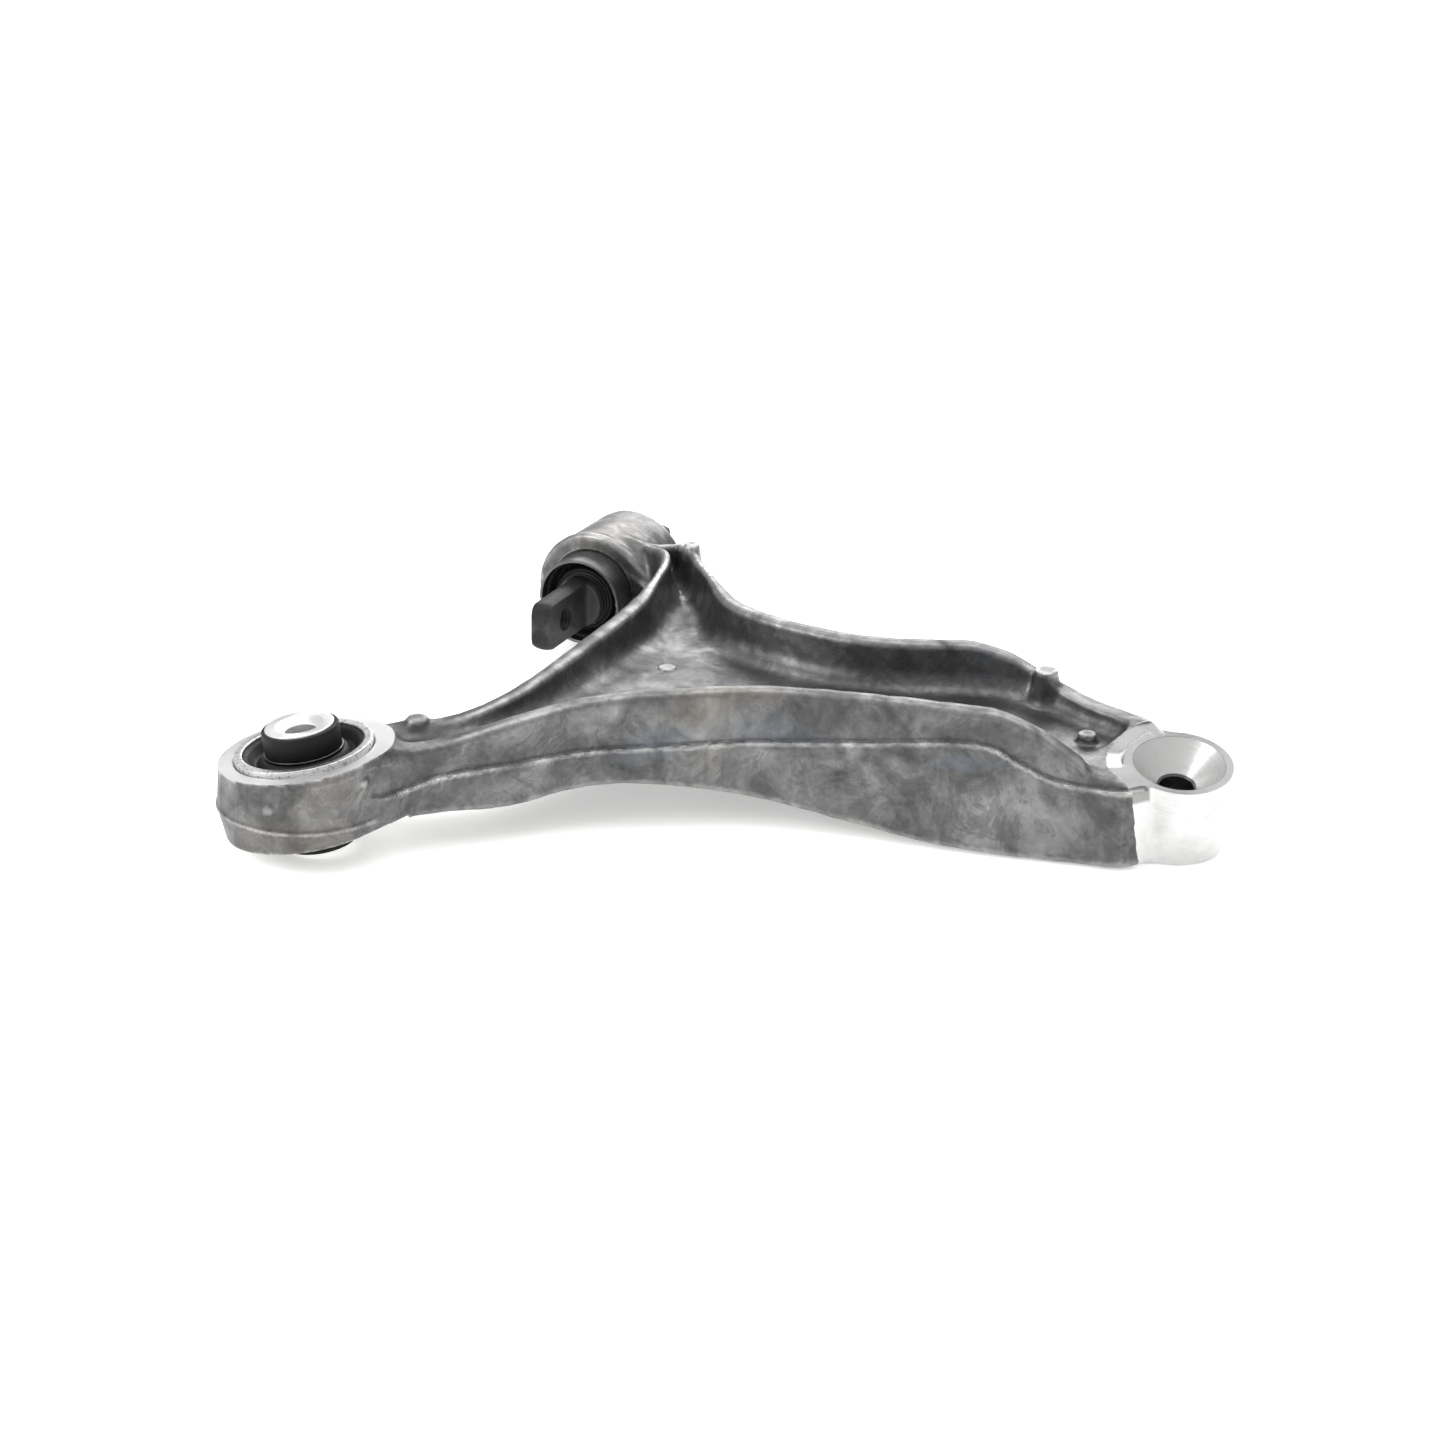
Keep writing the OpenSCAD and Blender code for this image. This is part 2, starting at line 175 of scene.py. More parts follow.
def field(x, y, z, d):
    """The casting before machining: below zero inside, in mm. d is the outline distance."""
    top, low, part = height(RIM_TOP, x), height(LOWER, x), height(PARTING, x)
    web = height(WEB_TOP, x)
    # the far rim stays higher by the ball eye, and the side rim sinks into the two eyes
    top = top + (height(FAR_TOP, x) - top) * ease((y - 22) / 26) * ease((x - 300) / 12)
    top = top - 5.0 * ease((50 - x) / 35) * ease((y - 10) / 15) - 6.0 * ease((y - 226) / 36)
    rear_rho = np.sqrt((x + 2.9) ** 2 + y ** 2)
    ball_rho, ball_h = local(BALL_M, x, y, z)
    boss_rho, boss_h = local(FRONT, x, y, z)

    # the beam: an upper zone, and a proud lower zone below the parting ledge
    upper = smax(d + 1.0 + 0.05 * (z - part), z - top, 4.5)
    upper = smax(upper, low - z, 3.0)
    lower = smax(d - 1.2 + 0.06 * (part - z), z - part, 1.2)
    lower = smax(lower, low - z, 3.5)
    body = smin(upper, lower, 1.6)

    # pockets above and below the web, clear of the eyes
    eyes = np.minimum(np.minimum(rear_rho - EYE_R - 1.0, ball_rho - SPOTFACE_R - 1.5),
                      smax(boss_rho - BOSS_R - 1.5,
                           np.maximum(-BOSS_NEAR - 1.5 - boss_h, boss_h - BOSS_FAR - 1.5), 3.0))
    # the walls beyond the near rim lean back, with a wider fillet at their foot
    leaning = ease((y - 60) / 25) * (1 - ease((y - 150) / 40))
    wall = RIM_W + 0.4 + 2.0 * leaning - (0.07 + 0.10 * leaning) * (z - web)
    wall = wall - 4.0 * ease((y - 150) / 50)
    pocket = smax(smax(d + wall, web - z, 8.0 + 2.0 * leaning), -eyes, 7.0)
    rib = np.minimum(np.abs(x - 165), np.minimum(np.abs(x - 225), np.abs(x - 285))) - RIB_T / 2
    lean = np.abs((x - 110) * math.cos(rad(35)) - (y - 150) * math.sin(rad(35))) - RIB_T / 2
    rib = np.minimum(rib, lean) - 0.05 * (web - WEB_T - z)
    under = smax(smax(d + RIM_W - 1.5 + 0.10 * (z - web), z - (web - WEB_T), 6.0), -eyes, 5.0)
    under = smax(under, -rib, 3.0)
    body = smax(body, -pocket, 3.4)
    body = smax(body, -under, 2.5)

    # rear eye: upright, with a belly, a parting ledge, and a turned collar on top
    r = np.interp(z, [-25, -5.6, -5.0, 25], [35.2, 40.2, 39.9, 38.4])
    eye = smax(rear_rho - r, np.abs(z) - 27, 1.5)
    collar_rho, collar_h = local(REAR, x, y, z)
    eye = smin(eye, smax(collar_rho - EYE_R, np.abs(collar_h - 18.5) - 4.5, 0.8), 1.2)
    eye = smin(eye, smax(rear_rho - 40.35, np.abs(z + 5.6) - 0.8, 0.7), 1.2)
    body = smin(body, eye, 11.0)

    # front eye's boss: a cone with a flared lip at its open face
    r = np.interp(boss_h, [-26, -22.5, -18, -12, 22], [32.0, 31.9, 30.9, 30.7, 30.0])
    boss = smax(boss_rho - r, -BOSS_NEAR - boss_h, 3.2)
    boss = smax(boss, boss_h - BOSS_FAR - 1, 1.0)
    body = smin(body, boss, 12.0)

    # ball eye
    eye = smax(ball_rho - BALL_EYE_R, np.abs(ball_h + 19) - 23, 1.0)
    body = smin(body, eye, 4.0)

    # pegs and pads, and round marks left by the ejector pins
    body = smin(body, round_nub(x, y, z, 341, 84, 34.0, 5.7, 0.03, 1.8, 19), 4.0)
    body = smin(body, round_nub(x, y, z, 357, 40, 19.8, 4.2, 0.10, 1.4, 6), 2.0)
    body = smin(body, round_nub(x, y, z, 46, 32, 23.8, 4.9, 0.15, 1.8, 9), 2.5)
    body = smin(body, round_nub(x, y, z, 171, 232, 41.8, 4.0, 0.12, 1.8, 9), 3.0)
    for cx, cy in CAST_MARKS:
        disc = smax(np.sqrt((x - cx) ** 2 + (y - cy) ** 2) - 4.2, np.abs(z - web) - 0.7, 0.6)
        body = smin(body, disc, 0.8)
    for cx, cy, cz in ((-14.0, -33.6, 4.7), (23.4, -22.8, 14.0)):
        knob = np.sqrt((x - cx) ** 2 + (y - cy) ** 2 + (z - cz) ** 2) - 5.2
        body = smin(body, knob, 0.8)
    return body + undulation(x, y, z)


def clear_saddles(f):
    """Moves the field off the few grid squares whose corners alternate in sign, where two
    sheets of the skin would touch along an edge."""
    for _ in range(5):
        inside, found = f < 0, 0
        for axis in range(3):
            u, v = [i for i in range(3) if i != axis]
            steps = [np.zeros(3, int) for _ in range(4)]
            steps[1][u] = steps[2][u] = steps[2][v] = steps[3][v] = 1
            size = np.array(f.shape) - steps[2]
            a, b, c, d = (inside[tuple(slice(s[i], s[i] + size[i]) for i in range(3))]
                          for s in steps)
            for cell in np.argwhere((a == c) & (b == d) & (a != b)):
                outer = [tuple(cell + s) for s in steps if f[tuple(cell + s)] >= 0]
                if outer:
                    f[min(outer, key=lambda q: f[q])] = -1e-3
                    found += 1
        if not found:
            break
    return f


def casting_mesh():
    """The casting's skin: a dual mesh of the distance model, drawn onto its surface."""
    lo, hi = np.array([-47.0, -46.0, -31.0]), np.array([426.0, 317.0, 47.0])
    n = np.ceil((hi - lo) / GRID).astype(int) + 1
    ax = [lo[i] + GRID * np.arange(n[i]) for i in range(3)]
    flat = outline_distance(*np.meshgrid(ax[0], ax[1], indexing="ij"))
    x, y, z = (ax[0][:, None, None], ax[1][None, :, None], ax[2][None, None, :])
    f = np.empty(n, np.float32)
    for i in range(0, n[0], 40):
        part = slice(i, i + 40)
        f[part] = field(x[part], y, z, flat[part, :, None])
    f = clear_saddles(f)
    inside = f < 0

    corners = [(i, j, k) for i in (0, 1) for j in (0, 1) for k in (0, 1)]
    m = n - 1

    def at(c, a=f):
        return a[c[0]:c[0] + m[0], c[1]:c[1] + m[1], c[2]:c[2] + m[2]]

    count = sum(at(c, inside).astype(np.int8) for c in corners)
    cells = np.argwhere((count > 0) & (count < 8))
    index = np.full(m, -1, np.int64)
    index[tuple(cells.T)] = np.arange(len(cells))
    values = {c: f[tuple((cells + c).T)] for c in corners}
    total, hits = np.zeros((len(cells), 3)), np.zeros(len(cells))
    for a in corners:
        for axis in range(3):
            if a[axis]:
                continue
            b = tuple(a[i] + (i == axis) for i in range(3))
            va, vb = values[a], values[b]
            cross = (va < 0) != (vb < 0)
            t = np.where(cross, va / np.where(cross, va - vb, 1), 0)
            p = np.array(a, float)[None, :] + t[:, None] * np.eye(3)[axis]
            total += np.where(cross[:, None], p, 0)
            hits += cross
    p = lo + GRID * (cells + total / hits[:, None])

    def value(q):
        return field(q[:, 0], q[:, 1], q[:, 2], outline_distance(q[:, 0], q[:, 1]))

    start = p.copy()
    for _ in range(2):
        g = np.stack([(value(p + e) - value(p - e)) / 0.4 for e in 0.2 * np.eye(3)], 1)
        step = -value(p)[:, None] * g / np.maximum((g * g).sum(1), 0.25)[:, None]
        p = p + np.clip(step, -0.6, 0.6)
        p = start + np.clip(p - start, -0.6 * GRID, 0.6 * GRID)

    quads = []
    for axis in range(3):
        u, v = (axis + 1) % 3, (axis + 2) % 3
        low = [slice(1, m[i]) for i in range(3)]
        low[axis] = slice(0, m[axis])
        high = list(low)
        high[axis] = slice(1, m[axis] + 1)
        a, b = inside[tuple(low)], inside[tuple(high)]
        edges = np.argwhere(a != b)
        flip = a[tuple(edges.T)]
        base = edges + np.array([0 if i == axis else 1 for i in range(3)])
        ring = []
        for du, dv in ((0, 0), (1, 0), (1, 1), (0, 1)):
            c = base.copy()
            c[:, u] -= du
            c[:, v] -= dv
            ring.append(index[tuple(c.T)])
        ring = np.stack(ring, 1)
        quads.append(np.where(flip[:, None], ring, ring[:, ::-1]))
    return p, np.concatenate(quads)


# ---------------------------------------------------------------- mesh helpers
def mesh_object(name, points, faces, material=None):
    points, faces = np.asarray(points, float), np.asarray(faces)
    mesh = bpy.data.meshes.new(name)
    mesh.vertices.add(len(points))
    mesh.vertices.foreach_set("co", (points * MM).astype(np.float32).ravel())
    mesh.loops.add(faces.size)
    mesh.loops.foreach_set("vertex_index", faces.astype(np.int32).ravel())
    mesh.polygons.add(len(faces))
    width = faces.shape[1]
    mesh.polygons.foreach_set("loop_start", np.arange(0, faces.size, width, dtype=np.int32))
    mesh.update(calc_edges=True)
    mesh.validate()
    obj = bpy.data.objects.new(name, mesh)
    bpy.context.scene.collection.objects.link(obj)
    if material:
        mesh.materials.append(material)
    return obj


def transform(points, matrix):
    m = np.array(matrix)
    return np.asarray(points, float) @ m[:3, :3].T + m[:3, 3]


def lathe(name, profile, matrix, material, n=160):
    """A closed ring or a solid of revolution. The profile runs round the section in
    (radius, height) pairs; a pair on the axis closes the solid with a point there."""
    prof = np.array(profile, float)
    area = 0.5 * np.sum(prof[:, 0] * np.roll(prof[:, 1], -1) - np.roll(prof[:, 0], -1) * prof[:, 1])
    if area < 0:
        prof = prof[::-1]
    angle = np.arange(n) * 2 * math.pi / n
    on_axis = prof[:, 0] < 1e-9
    points, ids = [], []
    for (r, h), axis in zip(prof, on_axis):
        if axis:
            ids.append([len(points)] * n)
            points.append((0, 0, h))
        else:
            ids.append(list(range(len(points), len(points) + n)))
            points += [(r * math.cos(a), r * math.sin(a), h) for a in angle]
    faces = []
    for i in range(len(prof)):
        j = (i + 1) % len(prof)
        if on_axis[i] and on_axis[j]:
            continue
        for k in range(n):
            quad = [ids[i][k], ids[i][(k + 1) % n], ids[j][(k + 1) % n], ids[j][k]]
            faces.append(list(dict.fromkeys(quad)))
    mesh = bpy.data.meshes.new(name)
    mesh.from_pydata((transform(points, matrix) * MM).tolist(), [], faces)
    mesh.materials.append(material)
    obj = bpy.data.objects.new(name, mesh)
    bpy.context.scene.collection.objects.link(obj)
    return obj


def rounded(profile, radii, n=5):
    """A closed section with its corners rounded: radii has one value per corner."""
    p = np.array(profile, float)
    out = []
    for i, r in enumerate(radii):
        a, b, c = p[i - 1], p[i], p[(i + 1) % len(p)]
        if r <= 0:
            out.append(tuple(b))
            continue
        u, v = (a - b) / np.linalg.norm(a - b), (c - b) / np.linalg.norm(c - b)
        r = min(r, 0.45 * np.linalg.norm(a - b), 0.45 * np.linalg.norm(c - b))
        for k in range(n + 1):
            t = k / n
            out.append(tuple(b + u * r * (1 - t) ** 2 + v * r * t ** 2))
    return out


def shade(obj, angle=32):
    mesh = obj.data
    mesh.polygons.foreach_set("use_smooth", np.ones(len(mesh.polygons), bool))
    mesh.set_sharp_from_angle(angle=rad(angle))
    return obj


def closed_solid(name, points, faces, matrix, material):
    """A closed mesh from points in an eye's own frame, with its faces turned outwards."""
    mesh = bpy.data.meshes.new(name)
    mesh.from_pydata((transform(points, matrix) * MM).tolist(), [], faces)
    mesh.materials.append(material)
    bm = bmesh.new()
    bm.from_mesh(mesh)
    bmesh.ops.recalc_face_normals(bm, faces=bm.faces)
    bm.to_mesh(mesh)
    bm.free()
    obj = bpy.data.objects.new(name, mesh)
    bpy.context.scene.collection.objects.link(obj)
    return obj


def cut(obj, *tools):
    """Takes the tools out of obj; the new faces keep the tools' material."""
    for tool in tools:
        mod = obj.modifiers.new("cut", "BOOLEAN")
        mod.operation, mod.solver, mod.object = "DIFFERENCE", "MANIFOLD", tool
        mod.material_mode = "TRANSFER"
        graph = bpy.context.evaluated_depsgraph_get()
        mesh = bpy.data.meshes.new_from_object(obj.evaluated_get(graph))
        obj.modifiers.clear()
        obj.data = mesh
        bpy.data.objects.remove(tool)
    return obj


# ---------------------------------------------------------------- materials
class Nodes:
    """A short way to write a node material."""

    def __init__(self, name):
        self.material = bpy.data.materials.new(name)
        self.material.use_nodes = True
        self.tree = self.material.node_tree
        self.tree.nodes.clear()
        out = self.tree.nodes.new("ShaderNodeOutputMaterial")
        self.bsdf = self.tree.nodes.new("ShaderNodeBsdfPrincipled")
        self.tree.links.new(self.bsdf.outputs[0], out.inputs[0])
        self.coords = self.tree.nodes.new("ShaderNodeTexCoord").outputs["Object"]

    def node(self, kind, **settings):
        n = self.tree.nodes.new("ShaderNode" + kind)
        for key, value in settings.items():
            setattr(n, key, value)
        return n

    def put(self, socket, value):
        if isinstance(value, bpy.types.NodeSocket):
            self.tree.links.new(value, socket)
        else:
            socket.default_value = value

    def frame(self, matrix):
        """Coordinates in mm in an eye's own frame."""
        inv = matrix.inverted()
        loc, rot, _ = inv.decompose()
        n = self.node("Mapping")
        n.inputs["Scale"].default_value = (1 / MM,) * 3
        n.inputs["Rotation"].default_value = rot.to_euler("XYZ")
        n.inputs["Location"].default_value = loc
        self.put(n.inputs["Vector"], self.coords)
        return n.outputs[0]

    def stretch(self, scale, vector=None):
        n = self.node("Mapping")
        n.inputs["Scale"].default_value = scale
        self.put(n.inputs["Vector"], vector or self.coords)
        return n.outputs[0]

    def noise(self, scale, detail=4, rough=0.55, vector=None, distortion=0.0):
        n = self.node("TexNoise")
        self.put(n.inputs["Vector"], vector or self.coords)
        for key, value in (("Scale", scale), ("Detail", detail), ("Roughness", rough),
                           ("Distortion", distortion)):
            n.inputs[key].default_value = value
        return n.outputs["Fac"]

    def math(self, op, a, b=0.0, clamp=False):
        n = self.node("Math", operation=op, use_clamp=clamp)
        self.put(n.inputs[0], a)
        self.put(n.inputs[1], b)
        return n.outputs[0]

    def ramp(self, fac, stops):
        n = self.node("ValToRGB")
        el = n.color_ramp.elements
        while len(el) < len(stops):
            el.new(0.5)
        for e, (at, value) in zip(el, stops):
            e.position = at
            e.color = (*value, 1) if isinstance(value, tuple) else (value, value, value, 1)
        self.put(n.inputs[0], fac)
        return n.outputs[0]

    def mix(self, fac, a, b, blend="MIX"):
        n = self.node("Mix", data_type="RGBA", blend_type=blend)
        self.put(n.inputs[0], fac)
        self.put(n.inputs[6], a)
        self.put(n.inputs[7], b)
        return n.outputs[2]

    def span(self, value, lo, hi, a=0.0, b=1.0):
        n = self.node("MapRange")
        for i, v in enumerate((value, lo, hi, a, b)):
            self.put(n.inputs[i], v)
        return n.outputs[0]

    def radius(self, vector):
        s = self.node("SeparateXYZ")
        self.put(s.inputs[0], vector)
        x2 = self.math("MULTIPLY", s.outputs[0], s.outputs[0])
        y2 = self.math("MULTIPLY", s.outputs[1], s.outputs[1])
        return self.math("SQRT", self.math("ADD", x2, y2)), s.outputs[2]

    def around(self, matrix):
        """The direction round an eye's axis, which the turning marks follow."""
        spot = self.node("VectorMath", operation="SUBTRACT")
        self.put(spot.inputs[0], self.coords)
        spot.inputs[1].default_value = matrix.translation * MM
        turn = self.node("VectorMath", operation="CROSS_PRODUCT")
        turn.inputs[0].default_value = matrix.to_3x3() @ Vector((0, 0, 1))
        self.put(turn.inputs[1], spot.outputs[0])
        unit = self.node("VectorMath", operation="NORMALIZE")
        self.put(unit.inputs[0], turn.outputs[0])
        return unit.outputs[0]

    def bump(self, height, strength, distance, normal=None):
        n = self.node("Bump")
        n.inputs["Strength"].default_value = strength
        n.inputs["Distance"].default_value = distance
        self.put(n.inputs["Height"], height)
        if normal:
            self.put(n.inputs["Normal"], normal)
        return n.outputs[0]

    def set(self, **values):
        for key, value in values.items():
            self.put(self.bsdf.inputs[key.replace("_", " ")], value)
        return self.material


def grey(v):
    return (v, v * 0.995, v * 0.985, 1)


def machined_look(m, frame_matrix, seed_scale, tones=(0.46, 0.66, 0.82)):
    """Colour, roughness and bump of turned aluminium, with rings about an axis."""
    r, h = m.radius(m.frame(frame_matrix))
    s = m.node("CombineXYZ")
    m.put(s.inputs[0], m.math("MULTIPLY", r, 4.0))
    m.put(s.inputs[2], m.math("MULTIPLY", h, 4.0))
    rings = m.noise(1.0, 3, 0.6, s.outputs[0])
    blots = m.noise(seed_scale, 5, 0.6)
    tone = m.ramp(m.math("ADD", m.math("MULTIPLY", rings, 0.5), m.math("MULTIPLY", blots, 0.5)),
                  list(zip((0.3, 0.5, 0.7), tones)))
    rough = m.span(rings, 0.3, 0.7, 0.24, 0.42)
    return tone, rough, rings


def cast_aluminium():
    m = Nodes("cast_aluminium_mottled")
    broad = m.noise(17, 5, 0.62, distortion=0.6)
    blotch = m.noise(48, 4, 0.6, distortion=1.1)
    fine = m.noise(330, 3, 0.6)
    tone = m.math("ADD", m.math("MULTIPLY", broad, 0.5), m.math("MULTIPLY", blotch, 0.38))
    tone = m.math("ADD", tone, m.math("MULTIPLY", fine, 0.12))
    colour = m.ramp(tone, [(0.36, 0.058), (0.46, 0.115), (0.54, 0.175), (0.66, 0.29)])
    # darker stains with sharper edges
    spots = m.span(m.noise(30, 6, 0.72, distortion=1.8), 0.515, 0.55, 0.0, 0.42)
    colour = m.mix(spots, colour, grey(0.075))
    # dark draw marks that run down the walls
    drawn = m.noise(1.0, 4, 0.6, m.stretch((420, 420, 16)))
    marks = m.span(drawn, 0.56, 0.72, 0.0, 0.45)
    colour = m.mix(marks, colour, grey(0.09))
    # faint warm and cool stains
    stain = m.span(m.noise(9, 2, 0.5), 0.60, 0.74, 0.0, 0.30)
    colour = m.mix(stain, colour, (0.33, 0.29, 0.22, 1))
    stain = m.span(m.noise(11, 2, 0.5, m.stretch((1, 1, 3.1))), 0.62, 0.76, 0.0, 0.25)
    colour = m.mix(stain, colour, (0.20, 0.25, 0.33, 1))
    # round cast marks on the web, rubbed bright
    for spot in CAST_MARKS:
        r, _ = m.radius(m.frame(Matrix.Translation((*spot, 0))))
        ragged = m.math("ADD", r, m.span(m.noise(420, 3, 0.6), 0.3, 0.7, -1.0, 1.0))
        colour = m.mix(m.span(ragged, 4.1, 4.6, 0.6, 0.0), colour, grey(0.34))
    # painted highlight: convex edges and rim crests are painted brighter, broken up by the blotch
    # noise
    geometry = m.node("NewGeometry")
    painted_edge_highlight = m.span(geometry.outputs["Pointiness"], 0.506, 0.545, 0.0, 0.75)
    painted_edge_highlight = m.math("MULTIPLY", painted_edge_highlight, m.span(blotch, 0.35, 0.6, 0.35, 1.0))
    colour = m.mix(painted_edge_highlight, colour, grey(0.58))
    # painted shade: hollows and creases are painted darker
    painted_hollow_shade = m.span(geometry.outputs["Pointiness"], 0.44, 0.49, 0.35, 0.0)
    colour = m.mix(painted_hollow_shade, colour, grey(0.07))
    rough = m.span(blotch, 0.3, 0.7, 0.50, 0.32)
    # the milled ball eye: bright, with a slightly ragged edge
    tone_b, rough_b, rings_b = machined_look(m, BALL_M, 60)
    r, h = m.radius(m.frame(BALL_M))
    # painted shade: outside the eye's side wall, near the spotface's height, the milled tone is
    # darkened to 0.45 to match the darker spotface
    face = m.math("MULTIPLY", m.span(r, BALL_EYE_R + 0.6, BALL_EYE_R + 1.2), m.span(h, -8.0, -6.0))
    tone_b = m.mix(face, tone_b, m.mix(1.0, tone_b, grey(0.45), "MULTIPLY"))
    ragged = m.math("ADD", r, m.span(m.noise(140, 2, 0.5), 0.3, 0.7, -0.5, 0.5))
    mill = m.span(ragged, SPOTFACE_R - 0.1, SPOTFACE_R + 0.15, 1.0, 0.0)
    colour = m.mix(mill, colour, tone_b)
    rough = m.mix(mill, rough, rough_b)
    grain = m.noise(900, 3, 0.7)
    skin = m.bump(m.math("ADD", m.math("MULTIPLY", grain, 0.4), m.math("MULTIPLY", blotch, 1.4)),
                  0.35, 0.0006)
    skin = m.bump(drawn, 0.12, 0.0004, skin)
    skin = m.bump(m.math("MULTIPLY", rings_b, mill), 0.10, 0.0002, skin)
    return m.set(Base_Color=colour, Roughness=rough, Metallic=0.92, Normal=skin,
                 Specular_IOR_Level=0.5)


def turned_aluminium(name, matrix, low=0.55, tones=(0.46, 0.66, 0.82), speckle=False, cup=0.0):
    """Turned metal; inside the radius cup, in mm, it is brighter and smoother, and the stud hole's
    bore is painted dark as shade.
    """
    m = Nodes(name)
    tone, rough, rings = machined_look(m, matrix, 70, tones)
    dark = m.span(m.noise(30, 4, 0.6), 0.40, 0.75, 0.0, 0.35)
    colour = m.mix(dark, tone, grey(low))
    if speckle:
        pits = m.span(m.noise(520, 3, 0.75), 0.52, 0.66, 0.0, 0.8)
        colour = m.mix(pits, colour, grey(0.16))
    if cup:
        r, _ = m.radius(m.frame(matrix))
        inside = m.span(r, cup, cup + 0.3, 1.0, 0.0)
        colour = m.mix(inside, colour, m.mix(dark, grey(0.74), grey(0.46)))
        # painted shade: the stud hole's bore, within STUD_R + 1 mm of the axis, is painted near
        # black
        colour = m.mix(m.span(r, STUD_R + 0.9, STUD_R + 1.1, 1.0, 0.0), colour, grey(0.12))
        rough = m.math("SUBTRACT", rough, m.math("MULTIPLY", inside, 0.10))
    normal = m.bump(rings, 0.22, 0.0002)
    normal = m.bump(m.noise(1200, 2, 0.6), 0.12, 0.0001, normal)
    return m.set(Base_Color=colour, Roughness=rough, Metallic=0.9, Normal=normal,
                 Anisotropic=0.8, Tangent=m.around(matrix))


def rubber():
    m = Nodes("bush_rubber_black")
    dust = m.noise(60, 5, 0.65)
    fine = m.noise(700, 3, 0.7)
    colour = m.ramp(m.math("ADD", m.math("MULTIPLY", dust, 0.7), m.math("MULTIPLY", fine, 0.3)),
                    [(0.38, 0.006), (0.55, 0.010), (0.72, 0.030)])
    rough = m.span(dust, 0.3, 0.7, 0.45, 0.65)
    return m.set(Base_Color=colour, Roughness=rough, Normal=m.bump(fine, 0.25, 0.00025),
                 Specular_IOR_Level=0.28)


def dark_steel():
    m = Nodes("dark_steel_phosphated")
    broad = m.noise(55, 5, 0.6)
    fine = m.noise(650, 4, 0.7)
    colour = m.ramp(m.math("ADD", m.math("MULTIPLY", broad, 0.6), m.math("MULTIPLY", fine, 0.4)),
                    [(0.36, 0.008), (0.52, 0.017), (0.68, 0.036)])
    edge = m.span(m.node("NewGeometry").outputs["Pointiness"], 0.53, 0.60, 0.0, 0.5)
    colour = m.mix(edge, colour, grey(0.20))
    scratch = m.span(m.noise(1.0, 3, 0.6, m.stretch((60, 900, 500))), 0.62, 0.76, 0.0, 0.3)
    colour = m.mix(scratch, colour, grey(0.10))
    return m.set(Base_Color=colour, Roughness=m.span(fine, 0.3, 0.7, 0.42, 0.60), Metallic=0.45,
                 Normal=m.bump(fine, 0.22, 0.0002))


def grey_steel():
    m = Nodes("grey_steel_drawn")
    broad = m.noise(80, 4, 0.6)
    fine = m.noise(800, 3, 0.7)
    colour = m.ramp(m.math("ADD", m.math("MULTIPLY", broad, 0.6), m.math("MULTIPLY", fine, 0.4)),
                    [(0.36, 0.09), (0.52, 0.14), (0.68, 0.20)])
    edge = m.span(m.node("NewGeometry").outputs["Pointiness"], 0.54, 0.62, 0.0, 0.8)
    colour = m.mix(edge, colour, grey(0.6))
    return m.set(Base_Color=colour, Roughness=m.span(fine, 0.3, 0.7, 0.28, 0.45), Metallic=0.95,
                 Normal=m.bump(fine, 0.18, 0.00015))


CAST = cast_aluminium()
REAR_TURNED = turned_aluminium("machined_rear_eye", REAR, 0.72, (0.72, 0.84, 0.94))
FRONT_TURNED = turned_aluminium("machined_front_eye", FRONT)
# painted shade: the ball eye's spotface and other milled faces get a much darker copy of the turned
# aluminium than the eye's bright side wall
BALL_TURNED = turned_aluminium("machined_ball_eye", BALL_M, 0.24, (0.23, 0.30, 0.37),
                               cup=FUNNEL_R)
SLEEVE_METAL = turned_aluminium("machined_sleeve_speckled", REAR, 0.4, speckle=True)
CORE_METAL = turned_aluminium("machined_core", REAR, 0.80, (0.78, 0.86, 0.95))
RUBBER = rubber()
DARK = dark_steel()
GREY_STEEL = grey_steel()

# ---------------------------------------------------------------- the casting
casting = mesh_object("casting", *casting_mesh(), CAST)
R0 = R_SLEEVE_R
rear_tool = lathe("rear_tool", [
    (0, -60), (43.5, -60), (43.5, -FACE_DOWN), (R0 + 0.9, -FACE_DOWN), (R0, 0.9 - FACE_DOWN),
    (R0, FACE_UP - 3.2), (R0 + 0.4, FACE_UP - 2.8), (R0 + 0.4, FACE_UP - 0.7),
    (R0 + 1.0, FACE_UP), (42, FACE_UP), (42, 60), (0, 60)],
    REAR, REAR_TURNED, 256)
front_tool = lathe("front_tool", [
    (0, -60), (F_SLEEVE_R + 1.0, -60), (F_SLEEVE_R + 1.0, -BOSS_NEAR),
    (F_SLEEVE_R, 1.0 - BOSS_NEAR), (F_SLEEVE_R, BOSS_FAR - 0.9), (F_SLEEVE_R + 0.9, BOSS_FAR),
    (36, BOSS_FAR), (36, 60), (0, 60)],
    FRONT, FRONT_TURNED, 224)
ball_tool = lathe("ball_tool", [
    (0, -80), (53.8, -80), (53.8, -BALL_EYE_H), (STUD_R + 0.8, -BALL_EYE_H),
    (STUD_R, 0.8 - BALL_EYE_H), (STUD_R, -FUNNEL_DEPTH), (FUNNEL_R - 0.5, -0.9),
    (FUNNEL_R + 0.3, 0), (SPOTFACE_R, 0), (SPOTFACE_R + 0.3, 0.3), (SPOTFACE_R + 0.3, 60), (0, 60)],
    BALL_M, BALL_TURNED, 256)
cut(casting, rear_tool, front_tool, ball_tool)
shade(casting, 34)
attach(casting, "arm")
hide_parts("arm_casting")


def piece(obj, body, node, angle=32):
    shade(obj, angle)
    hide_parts(node)
    if body:
        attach(obj, body)
    return obj


